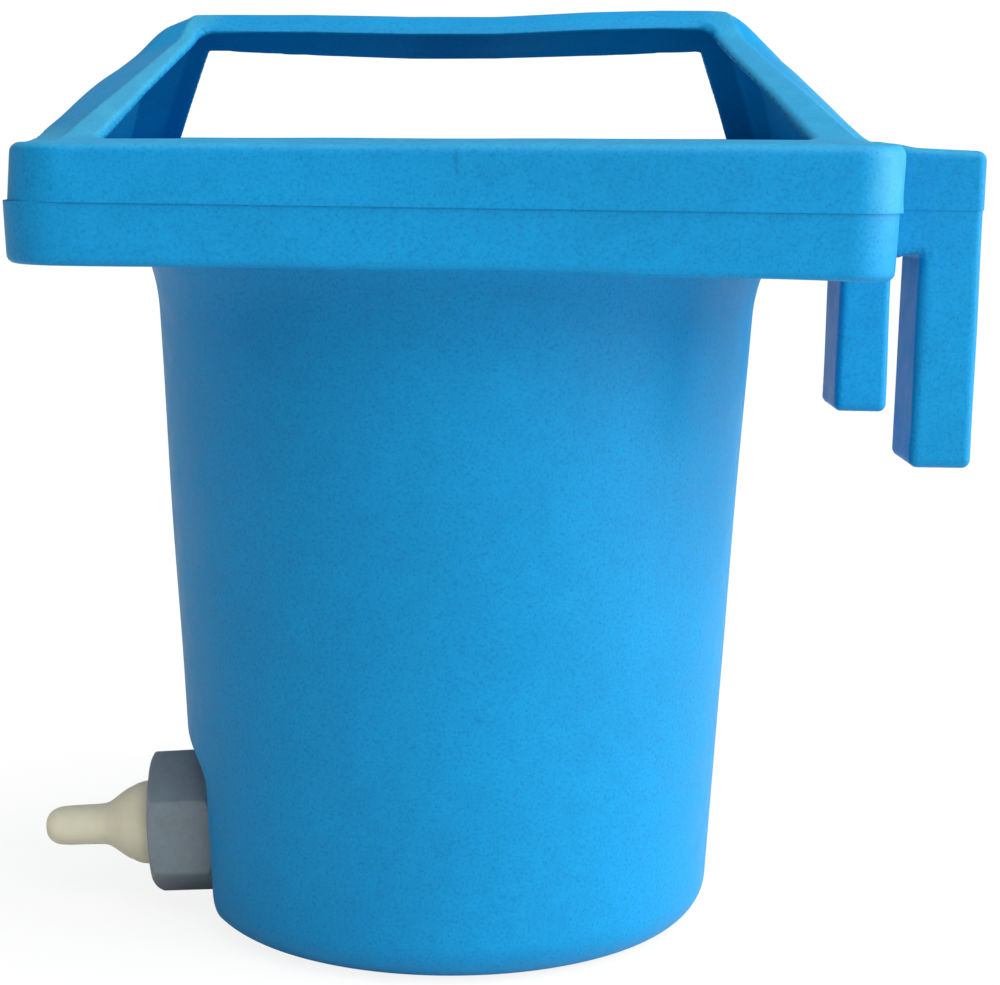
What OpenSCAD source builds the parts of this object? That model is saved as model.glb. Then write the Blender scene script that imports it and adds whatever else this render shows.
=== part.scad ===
// Hook-over teat feeder bucket: one hollow moulding (round body, square rim,
// bridge handle, two rail hooks) with a screwed teat and non-return valve unit.
// Origin: centre of the base. +Z up, hooks towards +X, teat towards -X, front towards -Y.

/* [Body] */
// Outer radius of the body at the base, before the base edge is rounded
base_r = 117; // [115:1:120]
// Outer radius of the body under the rim, before the flare
top_r = 134.3; // [131:0.1:137]
// Wall thickness of the whole moulding
wall = 5; // [4:0.5:5.5]
// Radius of the rounded base edge
base_edge_r = 20; // [13:1:20]
// How far the body flares out just under the rim
flare_w = 5; // [2:0.5:7]
// Height of that flare
flare_h = 28; // [20:1:36]

/* [Rim] */
// Width across the square rim
rim_w = 345; // [335:1:355]
// Corner radius of the rim, seen from above
rim_corner_r = 22; // [16:1:28]
// Height of the underside of the rim above the base
rim_z = 304; // [295:1:315]
// Height of the rim band
rim_h = 49; // [46:1:54]
// Sideways mismatch of the two mould halves at the parting line
parting_shift = 1.2; // [0:0.1:2]

/* [Bridge handle] */
// Width of the flat ledge beside the steep side slopes
ledge_w = 15; // [12:1:18]
// Width of the flat ledge outside the windows, at front and back
front_ledge = 19; // [17:0.5:21]
// Height of the top of the ridge above the base
ridge_z = 408; // [400:1:416]
// Half length of the ridge bar
ridge_half = 123; // [117:1:125]
// Half depth of the ridge bar, front to back
ridge_half_d = 23; // [20:1:26]
// Corner radius along the four hips
hip_r = 10; // [7:1:12]
// Half width of each window beside the ridge
window_top = 112; // [104:1:113]
// Half width of each window beside the rim
window_low = 137; // [126:1:139]
// Distance of the lower window edge from the middle of the bucket
window_y = 151.5; // [144:0.5:152]
// Distance of the front window's upper edge from the middle of the bucket
front_edge = 13; // [11:0.5:21]
// Distance of the back window's upper edge from the middle of the bucket
back_edge = 21.5; // [18:0.5:22]
// Corner radius of the windows
window_r = 7; // [4:1:12]

/* [Rail hooks] */
// Distance of each hook from the middle of the bucket
hook_y = 96; // [80:1:110]
// Width of each hook
hook_w = 44; // [36:1:50]
// Thickness of each hook leg
hook_t = 23; // [20:1:26]
// Outer face of the hooks, measured from the middle of the bucket
hook_x = 213; // [209:1:220]
// Height of the free end of the legs above the base
hook_z = 224; // [205:1:245]
// How far the free end of each leg leans in towards the body
hook_lean = 3.6; // [0:0.2:5]
// Edge radius of the hooks
hook_r = 3.5; // [2:0.5:4]

/* [Teat unit] */
// Height of the teat axis where it leaves the flat on the body
valve_z = 39.3; // [38.5:0.1:42]
// Distance of that flat from the middle of the bucket, at the teat axis
flat_x = 109; // [108:0.2:111]
// Height of the flat above the teat axis, up to its sloping shoulder
pad_top = 35; // [34:0.5:38]
// Downward tilt of the teat axis
tilt = 2.5; // [1.5:0.5:3.5]
// Width across the corners of the hexagonal nut
nut_corners = 66.8; // [66:0.2:68]
// Length of the nut
nut_len = 29.3; // [28.5:0.1:31]
// Crest radius of the spigot thread
thread_r = 23.4; // [22.8:0.1:23.8]
// Thread pitch
pitch = 3; // [2.5:0.5:3]
// Length of the teat outside the nut
teat_len = 50; // [46:1:58]
// Radius of the nipple
nipple_r = 9.3; // [8.6:0.1:9.6]
// Radius of the valve ball
ball_r = 8; // [7:0.5:8]
// Free travel of the valve ball
ball_travel = 4; // [3:0.5:4]

/* [Hidden] */
$fn = 96;

blue = [0.09, 0.50, 0.78];
grey = [0.45, 0.50, 0.53];
cream = [0.87, 0.84, 0.73];
black = [0.12, 0.12, 0.12];

// Rim and bridge handle
rim_half = rim_w / 2;
rim_top = rim_z + rim_h;
part_z = rim_z + rim_h * 0.49;
roof_z = rim_top + 1;
roof_half = rim_half - ledge_w;
roof_half_d = rim_half - front_ledge;
// The sloping roof turns into the rounded ridge bar here
shoulder_z = ridge_z - ridge_half_d * 0.52;
shoulder_half = ridge_half + 5;
// Rise of the front slope per mm of depth, and run of the side slope per mm of height
slope = (shoulder_z - roof_z) / (roof_half_d - ridge_half_d);
run = (roof_half - shoulder_half) / (shoulder_z - roof_z);
// Rounding of the ridge bar: [share of its rise, share of its half depth]
ridge_steps = [[0.36, 0.76], [0.66, 0.52], [0.88, 0.29], [0.975, 0.13], [1, 0.05]];
// Distance from the middle at which a window is window_top wide to each side
window_top_y = 21.5;

// Ramp above the flat on the body: its height and its depth
ramp_h = 10.5;
ramp_out = 13;

// Teat unit: places ending in _at lie along the teat axis, zero on the flat
axis_gap = 0.05;    // clearance between stacked parts
nut_at = 0.3;
nut_end_at = nut_at + nut_len;
nut_mouth_r = 19.7;
nut_shoulder_at = nut_end_at - 4.8;
slip_ring_t = 1.45;
clamped_r = thread_r - 0.2;    // slip ring and teat flange, inside the nut
spigot_end_at = nut_shoulder_at - slip_ring_t - 3.15;
flange_t = 4;
flange_r = 30;
seal_t = 2;
seal_gap = 0.02;    // between a seal and what it lies against
seal_bore_r = thread_r + 0.05;
inlet_r = ball_r - 1.5;
seat_at = -6;
ball_at = seat_at + sqrt(ball_r * ball_r - inlet_r * inlet_r) + axis_gap;
cage_at = ball_at + ball_r + ball_travel + axis_gap;

// One thread turn: [radius from the crest, place along a 3 mm pitch]
thread_turn = [[-1.3, 0.7], [-1.3, 1.3], [0, 2.05], [0, 2.75]];

// Teat shoulder, outside and inside: [radius, distance beyond the nut]
teat_outside = [[19.4, -1], [19.3, 2], [18.9, 5], [18.1, 7.6], [17.0, 9.8], [15.6, 12],
                [13.7, 14.4], [11.8, 17], [10.4, 19.4]];
teat_inside = [[9.7, 17.2], [12.4, 13.2], [14.8, 9.2], [16.2, 5], [16.8, 1]];

// ---- Shared shapes ----

function arc(mid_x, mid_y, radius, start, end, steps) =
    [for (i = [0:steps])
        let (angle = start + (end - start) * i / steps)
        [mid_x + radius * cos(angle), mid_y + radius * sin(angle)]];

// Rounded rectangle for one level: [z, half x, half y, corner radius, centre x, centre y]
function ring(level, steps) =
    let (half_x = level[1], half_y = level[2],
         radius = min(level[3], half_x - 0.05, half_y - 0.05))
    [for (quarter = [0:3]) for (i = [0:steps])
        let (angle = 90 * quarter + 90 * i / steps,
             side_x = quarter == 0 || quarter == 3 ? 1 : -1,
             side_y = quarter < 2 ? 1 : -1)
        [level[4] + side_x * (half_x - radius) + radius * cos(angle),
         level[5] + side_y * (half_y - radius) + radius * sin(angle),
         level[0]]];

// Solid through a stack of levels, listed from the bottom up
module stack(levels, steps) {
    count = 4 * (steps + 1);
    last = len(levels) - 1;
    polyhedron(
        points = [for (level = levels) each ring(level, steps)],
        faces = concat(
            [[for (i = [0:count - 1]) i]],
            [for (j = [0:last - 1]) for (i = [0:count - 1])
                let (here = j * count + i, next = j * count + (i + 1) % count)
                for (triangle = [[here, here + count, next + count],
                                 [here, next + count, next]])
                    triangle],
            [[for (i = [count - 1:-1:0]) last * count + i]]));
}

// Corners of a convex, anticlockwise polygon rounded off
function rounded(points, radius, steps) =
    let (count = len(points))
    [for (i = [0:count - 1])
        let (corner = points[i],
             before = points[(i + count - 1) % count] - corner,
             after = points[(i + 1) % count] - corner,
             to_before = before / norm(before),
             to_after = after / norm(after),
             inward = to_before + to_after,
             half_angle = acos(to_before * to_after) / 2,
             centre = corner + inward / norm(inward) * radius / sin(half_angle),
             start = atan2(-to_before[0], to_before[1]) + 180,
             turn = 180 - 2 * half_angle)
        for (k = [0:steps])
            let (angle = start + turn * k / steps)
            centre + radius * [cos(angle), sin(angle)]];

module washer(base, height, outer_r, hole_r) {
    difference() {
        translate([0, 0, base]) cylinder(h = height, r = outer_r);
        translate([0, 0, base - 1]) cylinder(h = height + 2, r = hole_r);
    }
}

// Local frame of the teat unit: +Z out along the teat axis, zero on the flat
module at_valve() {
    translate([-flat_x, 0, valve_z]) rotate([0, -(90 + tilt), 0]) children();
}

// ---- Bucket moulding ----

function body_r(z) = base_r + (top_r - base_r) * z / rim_z;

// Body outline [radius, z], moved inward by inset from the outside
function body_outline(inset, top) =
    let (lean = atan((top_r - base_r) / rim_z),
         side_inset = inset / cos(lean),
         edge_r = base_edge_r - inset,
         edge_x = body_r(inset) - side_inset - edge_r * tan((90 - lean) / 2),
         steps = 6)
    concat(
        [[0, inset]],
        arc(edge_x, inset + edge_r, edge_r, -90, -lean, 8),
        [for (i = [0:steps])
            let (z = rim_z - flare_h + flare_h * i / steps)
            [body_r(z) - side_inset + flare_w * pow(i / steps, 2.2), z]],
        [[body_r(rim_z) - side_inset + flare_w, top], [0, top]]);

// Everything outside the leaning flat for the nut and the short ramp above it
module flat_cut(inset) {
    width = 120;
    outer_x = -220;
    bottom = -20;
    pad_z = valve_z + pad_top;
    rise = inset * 0.6;
    function face_x(z) = -(flat_x + (z - valve_z) * tan(tilt)) + inset / cos(tilt);
    translate([0, width / 2, 0]) rotate([90, 0, 0]) linear_extrude(width)
        polygon([[outer_x, bottom], [face_x(bottom), bottom],
                 [face_x(pad_z + rise), pad_z + rise],
                 [face_x(pad_z) - ramp_out, pad_z + ramp_h + rise],
                 [outer_x, pad_z + ramp_h + rise]]);
}

module body_solid(inset, top) {
    difference() {
        rotate_extrude() polygon(body_outline(inset, top));
        flat_cut(inset);
    }
}

// Rim band, roof and ridge bar; the band below the parting line is shifted
module rim_outside() {
    corner = rim_corner_r;
    shift_x = -parting_shift;
    shift_y = parting_shift * 0.65;
    band = rim_half + 0.4;
    stack(concat(
        [[rim_z, rim_half - 3.6, rim_half - 3.6, corner - 3, shift_x, shift_y],
         [rim_z + 0.9, rim_half - 1.5, rim_half - 1.5, corner - 1, shift_x, shift_y],
         [rim_z + 3, rim_half - 0.6, rim_half - 0.6, corner, shift_x, shift_y],
         [part_z, band, band, corner, shift_x, shift_y],
         [part_z + 0.4, band, band, corner, 0, 0],
         [rim_top - 3.5, rim_half - 0.6, rim_half - 0.6, corner, 0, 0],
         [rim_top - 1, rim_half - 1.6, rim_half - 1.6, corner - 1, 0, 0],
         [rim_top, rim_half - 4, rim_half - 4, corner - 3.5, 0, 0],
         [rim_top + 0.3, roof_half + 2, roof_half_d + 2, hip_r + 2, 0, 0],
         [roof_z, roof_half, roof_half_d, hip_r, 0, 0],
         [shoulder_z, shoulder_half, ridge_half_d, hip_r, 0, 0]],
        [for (step = ridge_steps)
            [shoulder_z + (ridge_z - shoulder_z) * step[0], shoulder_half - 6.5 * step[0],
             ridge_half_d * step[1], hip_r, 0, 0]]), 5);
}

// Hollow inside the rim band, roof and ridge bar
module rim_inside() {
    corner = rim_corner_r - wall;
    hip = hip_r - 3;
    inner = rim_half - wall;
    // The wall measured upwards through the front slope and sideways through the side slope
    wall_up = wall / cos(atan(slope));
    wall_side = wall / sin(90 - atan(run));
    low_z = roof_z + 4 * slope - wall_up;
    low_half = min(roof_half - 3, roof_half - (low_z - roof_z) * run - wall_side);
    high_z = shoulder_z - wall_up;
    high_half = shoulder_half + wall_up * run - wall_side;
    stack(concat(
        [[rim_z + wall, inner - 3, inner - 3, corner - 2, 0, 0],
         [rim_z + wall + 2, inner - 1.6, inner - 1.6, corner, 0, 0],
         [rim_top - wall - 2, inner - 1.2, inner - 1.2, corner, 0, 0],
         [rim_top - wall, inner - 3.5, inner - 3.5, corner - 3, 0, 0],
         [rim_top - wall + 0.3, roof_half - 0.5, roof_half_d + 1, hip_r - 2, 0, 0],
         [low_z, low_half, roof_half_d - 4, hip, 0, 0],
         [high_z, high_half, ridge_half_d - 1, hip, 0, 0]],
        [for (step = ridge_steps)
            [high_z + (ridge_z - wall - high_z) * step[0], high_half - 5.5 * step[0],
             (ridge_half_d - 3.5) * step[1], hip, 0, 0]]), 5);
}

// Cutter for a window on the front side, with its upper edge that far from the middle
module window(upper_edge) {
    top_half = window_low - (window_low - window_top)
        * (window_y - upper_edge) / (window_y - window_top_y);
    translate([0, 0, rim_top - 9]) linear_extrude(ridge_z - rim_top + 20)
        polygon(rounded([[-window_low, -window_y], [window_low, -window_y],
                         [top_half, -upper_edge], [-top_half, -upper_edge]], window_r, 5));
}

// Hook at +Y: leg and arm with rounded edges, or their hollow when inset is the wall
module hook(inset) {
    edge = max(hook_r - inset * 0.4, 1.5);
    half_t = hook_t / 2 - inset;
    half_w = hook_w / 2 - inset;
    mid_x = hook_x - hook_t / 2;
    bottom = hook_z + inset;
    top = rim_top - 1.5 - inset;
    arm_z = rim_z + 6;
    arm_bottom = arm_z + inset;
    arm_start = rim_half - 12;
    arm_end = mid_x + (inset > 0 ? 2 : 4);
    function leg_x(z) = mid_x - hook_lean * max(0, part_z - z) / (part_z - hook_z);

    // Leg levels: [z, edge trim, centre x]
    leg = [[bottom, edge, leg_x(bottom)],
           [bottom + edge * 0.3, edge * 0.3, leg_x(bottom)],
           [bottom + edge, 0, leg_x(bottom + edge)],
           [part_z, 0, mid_x],
           [top - edge, 0, mid_x],
           [top - edge * 0.3, edge * 0.3, mid_x],
           [top, edge, mid_x]];
    stack([for (level = leg)
        [level[0], half_t - level[1], half_w - level[1], edge, level[2], hook_y]], 3);

    // Arm levels: [z, edge trim]
    arm = [[arm_bottom, edge * 0.6],
           [arm_bottom + edge * 0.6, 0],
           [top - edge, 0],
           [top - edge * 0.3, edge * 0.3],
           [top, edge]];
    stack([for (level = arm)
        [level[0], (arm_end - arm_start) / 2, half_w - level[1], edge,
         (arm_start + arm_end) / 2, hook_y]], 3);

    // Small web in the corner where the leg meets the underside of the arm
    web_x = leg_x(arm_z) - half_t;
    if (inset == 0)
        translate([0, hook_y + half_w - edge, 0]) rotate([90, 0, 0])
            linear_extrude(2 * (half_w - edge))
                polygon([[web_x - 2, arm_z], [leg_x(arm_z - 2) - half_t, arm_z - 2],
                         [web_x + 3, arm_z - 2], [web_x + 3, arm_z + 1.5],
                         [web_x - 2, arm_z + 1.5]]);
}

module hook_pair(inset) {
    hook(inset);
    mirror([0, 1, 0]) hook(inset);
}

module bucket_moulding() {
    color(blue) difference() {
        union() {
            body_solid(0, rim_z + wall * 0.6);
            rim_outside();
            hook_pair(0);
        }
        body_solid(wall, rim_z + wall + 2);
        rim_inside();
        hook_pair(wall);
        window(front_edge);
        mirror([0, 1, 0]) window(back_edge);
        // Hole for the spigot
        at_valve() translate([0, 0, -wall - 3]) cylinder(h = wall + 6, r = thread_r + 0.3);
    }
}

// ---- Teat unit ----

module union_nut() {
    flats = nut_corners / 2 * cos(30);
    color(grey) at_valve() difference() {
        intersection() {
            translate([0, 0, nut_at]) cylinder(h = nut_len, r = nut_corners / 2, $fn = 6);
            // Thirty degree chamfer on the outer end, a light one on the inner end
            rotate_extrude()
                polygon([[0, nut_at], [flats + 3, nut_at], [flats + 5, nut_at + 1.2],
                         [flats + 5, nut_end_at - 6.5 * tan(30)],
                         [flats - 1.5, nut_end_at], [0, nut_end_at]]);
        }
        // Bore, recess around the outer seal, and outer opening
        translate([0, 0, -1]) cylinder(h = nut_shoulder_at + 1, r = thread_r + 0.08);
        translate([0, 0, -1]) cylinder(h = 2.9, r = thread_r + 2.6);
        translate([0, 0, nut_shoulder_at - 1]) cylinder(h = 10, r = nut_mouth_r);
        // Eased edge of the outer opening
        rotate_extrude()
            polygon([[0, nut_end_at - 1], [nut_mouth_r, nut_end_at - 1],
                     [nut_mouth_r + 1, nut_end_at], [nut_mouth_r + 1, nut_end_at + 2],
                     [0, nut_end_at + 2]]);
    }
}

// Flange clamped in the nut, curved shoulder, then the nipple with a hole in its tip
module teat() {
    flange_at = spigot_end_at + axis_gap;
    flange_end_at = nut_shoulder_at - slip_ring_t - 0.1;
    tip_at = nut_end_at + teat_len;
    color(cream) at_valve() rotate_extrude() polygon(concat(
        [[16.4, flange_at], [clamped_r, flange_at], [clamped_r, flange_end_at],
         [teat_outside[0][0], flange_end_at]],
        [for (point = teat_outside) [point[0], nut_end_at + point[1]]],
        [[nipple_r + 0.3, nut_end_at + 21.8], [nipple_r, nut_end_at + 25],
         [nipple_r - 0.1, nut_end_at + 32], [nipple_r - 0.3, tip_at - 9],
         [nipple_r - 0.7, tip_at - 6]],
        [for (angle = [20:14:76])
            [(nipple_r - 0.8) * cos(angle), tip_at - 6.2 + 6.2 * sin(angle)]],
        [[1, tip_at], [1, tip_at - 2.6], [nipple_r - 5, tip_at - 4],
         [nipple_r - 2.6, tip_at - 7.5], [nipple_r - 2.3, nut_end_at + 24.5],
         [nipple_r - 1.2, nut_end_at + 20.6]],
        [for (point = teat_inside) [point[0], nut_end_at + point[1]]]));
}

module slip_ring() {
    color("ivory") at_valve()
        washer(nut_shoulder_at - slip_ring_t - axis_gap, slip_ring_t, clamped_r, 19.6);
}

// Flange inside the bucket, ringed thread outside it, and the ball seat in the bore
module threaded_spigot() {
    start = -wall - seal_t - flange_t;
    turns = floor((spigot_end_at - 1) / pitch);
    bore_r = 19.6;
    cage_pocket_r = 20.2;
    cage_pocket_at = cage_at - 0.03;
    guide_r = ball_r + 1.2;
    guide_outer_r = ball_r + 3.2;
    guide_end_at = 6;
    color(grey * 0.9) at_valve() rotate_extrude() polygon(concat(
        [[inlet_r, start], [flange_r - 1, start], [flange_r, start + 1],
         [flange_r, start + flange_t], [thread_r, start + flange_t], [thread_r, 0.2]],
        [for (i = [0:turns - 1]) for (point = thread_turn)
            [thread_r + point[0], i * pitch + point[1] * pitch / 3]],
        [[thread_r, spigot_end_at - 0.8], [thread_r - 0.8, spigot_end_at],
         [cage_pocket_r, spigot_end_at], [cage_pocket_r, cage_pocket_at],
         [bore_r, cage_pocket_at], [bore_r, start + 3],
         [guide_outer_r, start + 3], [guide_outer_r, guide_end_at],
         [guide_r, guide_end_at], [guide_r, seat_at], [inlet_r, seat_at]]));
}

module outer_seal() {
    color(black) at_valve()
        washer(seal_gap, 1.85 - seal_gap, thread_r + 2.5, seal_bore_r);
}

module inner_seal() {
    color(black) at_valve()
        washer(-wall - seal_t + seal_gap, seal_t - 2 * seal_gap, flange_r, seal_bore_r);
}

module valve_ball() {
    color("white") at_valve() translate([0, 0, ball_at]) sphere(r = ball_r);
}

// Outer ring, centre disc and six spokes
module valve_cage() {
    spoke_w = 2.2;
    spoke_h = 2.4;
    color(grey * 1.1) at_valve() translate([0, 0, cage_at]) {
        washer(0, 3.6, 20.15, 17.2);
        cylinder(h = spoke_h, r = 5);
        for (angle = [0:60:300])
            rotate([0, 0, angle]) translate([4, -spoke_w / 2, 0]) cube([14, spoke_w, spoke_h]);
    }
}

bucket_moulding();
union_nut();
teat();
slip_ring();
threaded_spigot();
outer_seal();
inner_seal();
valve_ball();
valve_cage();
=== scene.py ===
"""A teat bucket: a blue rotationally moulded tub with a square rim, a hipped top with two
windows, two rail hooks, and a rubber teat held by a hexagonal nut on a threaded spigot.

It stands on z = 0 with its axis on Z. The teat points out along -X, the hooks hang on +X,
the ridge runs along X and the camera looks from -Y. Shapes are worked out in millimetres,
which make_mesh turns into metres. Materials, lights and camera are in metres.
"""
import math
import bpy
import numpy as np
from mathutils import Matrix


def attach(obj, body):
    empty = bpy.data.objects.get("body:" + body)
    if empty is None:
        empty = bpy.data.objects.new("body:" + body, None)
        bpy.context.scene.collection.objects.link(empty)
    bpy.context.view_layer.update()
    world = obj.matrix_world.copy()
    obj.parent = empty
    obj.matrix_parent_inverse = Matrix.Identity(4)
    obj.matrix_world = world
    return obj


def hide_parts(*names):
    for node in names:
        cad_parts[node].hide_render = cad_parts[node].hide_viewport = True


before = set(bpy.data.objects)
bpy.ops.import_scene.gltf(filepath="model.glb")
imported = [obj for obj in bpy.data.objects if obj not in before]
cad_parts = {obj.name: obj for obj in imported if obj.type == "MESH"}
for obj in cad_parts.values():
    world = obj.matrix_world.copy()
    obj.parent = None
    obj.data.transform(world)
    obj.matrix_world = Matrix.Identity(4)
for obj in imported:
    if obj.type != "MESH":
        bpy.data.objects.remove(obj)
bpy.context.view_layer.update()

import openvdb as vdb
from mathutils import Matrix, Vector

# ---------------------------------------------------------------- driving sizes, mm
MM = 0.001
WALL = 5.0
RIM_Z, RIM_TOP = 304.0, 353.0
RIM_HEIGHT = RIM_TOP - RIM_Z
PART_Z = RIM_Z + RIM_HEIGHT * 0.49      # parting line of the two mould halves
RIM_HALF, RIM_CORNER = 172.5, 22.0
EAVES_Y, EAVES_Z = 153.5, 354.0
RIDGE_Z, RIDGE_REACH = 408.0, 23.0      # top of the ridge, and how far its curve reaches in Y
SHOULDER_Z = RIDGE_Z - RIDGE_REACH * 0.52
ROOF_SLOPE = (SHOULDER_Z - EAVES_Z) / (EAVES_Y - RIDGE_REACH)
ROOF_MID_X = 1.5
CREASE_X, CREASE_SPREAD = 118.3, 0.235  # crease beside each hip: x at y = 0, and dx/dy
CREASE_DROP = 0.42                      # extra fall outside the crease
WINDOW_REACH, WINDOW_NEAR, WINDOW_FLOOR = 151.5, 21.5, 343
HOOK_Y, HOOK_HALF, HOOK_ROUND = 96, 22, 3.6
FLAT_X, VALVE_Z = 109.0, 39.3           # flat for the nut, and height of the teat's axis there
FLAT_RISE = 35                          # from the axis to the shoulder over the flat
TILT = math.radians(2.5)
PORT_RADIUS = 23.75

# the teat's own frame: up, across and out along its axis
UP = np.array([-math.sin(TILT), 0.0, math.cos(TILT)])
ACROSS = np.array([0, 1.0, 0])
OUT = np.array([-math.cos(TILT), 0.0, -math.sin(TILT)])
PORT = np.array([-FLAT_X, 0.0, VALVE_Z])


# ---------------------------------------------------------------- blending
def smooth(start, end, value):
    """Smoothstep from 0 at start to 1 at end."""
    value = np.clip((value - start) / (end - start), 0, 1)
    return value * value * (3 - 2 * value)


def round_max(first, second, radius):
    """Intersection of two distances, its edge rounded."""
    return (np.minimum(-radius, np.maximum(first, second))
            + np.hypot(np.maximum(first + radius, 0), np.maximum(second + radius, 0)))


def round_min(first, second, radius):
    """Union of two distances, its corner filleted."""
    return (np.maximum(radius, np.minimum(first, second))
            - np.hypot(np.maximum(radius - first, 0), np.maximum(radius - second, 0)))


def soften(heights, values):
    """A table of values against height, run through a short smoothing window."""
    raw = np.interp(SWELL_Z, heights, values)
    weights = np.exp(-(np.arange(-7, 8) / 3.0) ** 2)
    return np.convolve(np.pad(raw, 7, "edge"), weights / weights.sum(), "valid")


# how far each hip bows out of its plane: heights, then bows
SWELL_Z = np.arange(330.0, 420.0)
SWELL_LEFT = soften([350, 357, 363, 367, 371.5, 377, 383, 390, 398, 404],
                    [2.6, 3.1, 2.7, 4.2, 5.3, 5.8, 3.5, 0.2, -0.1, 1.5])
SWELL_RIGHT = soften([353, 361.5, 373.5, 381.5, 390, 397, 403],
                     [-1.2, -0.9, 1.3, 3.1, 2.1, 0.6, 0.3])


# ---------------------------------------------------------------- bucket: signed distances
def tub_sdf(x, y, z):
    """Tapered round tub with a flat on its -X side, and a sloping shoulder over the flat."""
    radius = np.hypot(x - 0.8 * smooth(200, 300, z), y)
    flare = 5.0 * np.clip((z - 276) / 28, 0, 1.2) ** 2.2
    wall_radius = 117 + 17.3 * z / RIM_Z + flare
    tub = round_max((radius - wall_radius) * 0.998, -z, 18.3)
    tub = np.maximum(tub, z - (RIM_Z + 6))
    flat = -(x + FLAT_X + (z - VALVE_Z) * math.tan(TILT)) * math.cos(TILT)
    shoulder_x = -(FLAT_X + FLAT_RISE * math.tan(TILT))
    shoulder_z = VALVE_Z + FLAT_RISE
    normal_x, normal_z = 10.5, 13
    shoulder = -((x - shoulder_x) * normal_x + (z - shoulder_z) * normal_z)
    shoulder = shoulder / math.hypot(normal_x, normal_z)
    return round_max(tub, round_min(flat, shoulder, 5.0), 3.5)


def rim_plan(x, y, z):
    """Distance in plan to the rounded square rim; its two halves don't quite line up."""
    below = z < PART_Z
    shift_x = np.where(below, -1.1, 0.5)
    shift_y = np.where(below, 0.8, 0.0)
    draft = 0.9 * np.abs(z - PART_Z) / (RIM_HEIGHT / 2)
    half = RIM_HALF + 0.45 - draft + 1.1 * smooth(332, 350, z) * (x > 0)
    past_x = np.abs(x - shift_x) - (half - np.where(below, 0.6, 0.9) - RIM_CORNER)
    past_y = np.abs(y - shift_y) - (half - RIM_CORNER)
    outside = np.hypot(np.maximum(past_x, 0), np.maximum(past_y, 0))
    return outside + np.minimum(np.maximum(past_x, past_y), 0) - RIM_CORNER


def roof_sdf(x, y, z, plan):
    """Hipped top: two slopes off a rounded ridge, and a steeper hip at each end."""
    away = np.abs(y)
    part = np.clip(away / RIDGE_REACH, 0, 1)
    rise = RIDGE_Z - SHOULDER_Z
    fall = ROOF_SLOPE * RIDGE_REACH
    height = (SHOULDER_Z + rise * (2 * part ** 3 - 3 * part ** 2 + 1)
              - fall * (part ** 3 - part ** 2))
    slope = (rise * (6 * part ** 2 - 6 * part) - fall * (3 * part ** 2 - 2 * part)) / RIDGE_REACH
    far = away > RIDGE_REACH
    height = np.where(far, SHOULDER_Z - ROOF_SLOPE * (away - RIDGE_REACH), height)
    slope = np.where(far, -ROOF_SLOPE, slope)
    # each slope bends down a little along a soft crease next to its hips
    over = np.abs(x - ROOF_MID_X) - (CREASE_X + CREASE_SPREAD * away)
    height = height - CREASE_DROP * 0.5 * (over + np.sqrt(over * over + 3.0))
    height = height - 0.9 * smooth(-1.8, 1.8, over)
    bend = CREASE_DROP * smooth(-3, 3, over)
    slopes = (z - height) / np.sqrt(1 + (slope + CREASE_SPREAD * bend) ** 2 + bend * bend)
    swell = np.where(x < 0, np.interp(z, SWELL_Z, SWELL_LEFT), np.interp(z, SWELL_Z, SWELL_RIGHT))
    swell = swell * smooth(25, -15, y)
    hips = (np.abs(x + 1.0) - (133.1 + swell + 0.718 * (398 - z))) / 1.231
    return np.maximum(round_max(slopes, hips, 4.0), np.maximum(344 - z, plan + 6))


def hooks_sdf(x, y, z):
    """Two rail hooks on +X: an arm out from the rim and a leg down from it."""
    inset = np.where(z < PART_Z, 0.45, 0.0)
    top = 353.4 - 0.045 * np.maximum(x - RIM_HALF, 0)
    down = np.maximum(0, PART_Z - z) / (PART_Z - 224)
    foot = np.where(y < 0, 222.7, 224.0)
    leg_side = np.abs(x - (200.2 - 1.6 * down)) - 12.8 - 0.5 * down + inset
    leg = round_max(leg_side, foot - z, HOOK_ROUND)
    arm = np.maximum(np.maximum(150 - x, x - 204), 310.4 - z)
    hook = round_max(round_min(leg, arm, 2.0), z - top, HOOK_ROUND)
    hook = round_max(hook, np.abs(np.abs(y) - HOOK_Y) - HOOK_HALF + inset, HOOK_ROUND)
    # torn flash left along the underside of the arm
    flash = np.exp(-((z - 310.6) / 1.6) ** 2) * smooth(173, 177, x) * (1 - smooth(190, 194, x))
    tears = np.abs(np.sin(x * 1.15 + 0.7 * np.sin(y * 0.9)) * np.sin(y * 0.83 + 1.0))
    return hook - flash * 0.55 * tears


def outer_sdf(x, y, z):
    """Signed distance to the outside of the moulding, negative inside."""
    plan = rim_plan(x, y, z)
    rim = round_max(round_max(plan, z - RIM_TOP, 4.2), RIM_Z - z, 3.0)
    solid = round_min(rim, roof_sdf(x, y, z, plan), 3.0)
    solid = round_min(solid, tub_sdf(x, y, z), 3.0)
    solid = round_min(solid, hooks_sdf(x, y, z), 2.2)
    # slow waviness of a rotational moulding
    wave = np.sin(x / 17 + 1.3 * np.sin(y / 31)) * np.sin(z / 21 + 0.8 * np.sin(x / 43 + 2))
    wave = wave + np.sin(y / 19 + 1.0) * np.sin(z / 14 + x / 60)
    return solid + smooth(70, 130, z) * 0.16 * wave


# how far the +Y window's ridge-side edge stands off, at stations in x
BACK_EDGE_X = [-112, -100, -70, -26, 10, 27, 65, 112]
BACK_EDGE_Y = [1, 1.4, 3.6, 4, 3.9, 4.8, 6.4, 6.4]


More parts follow.
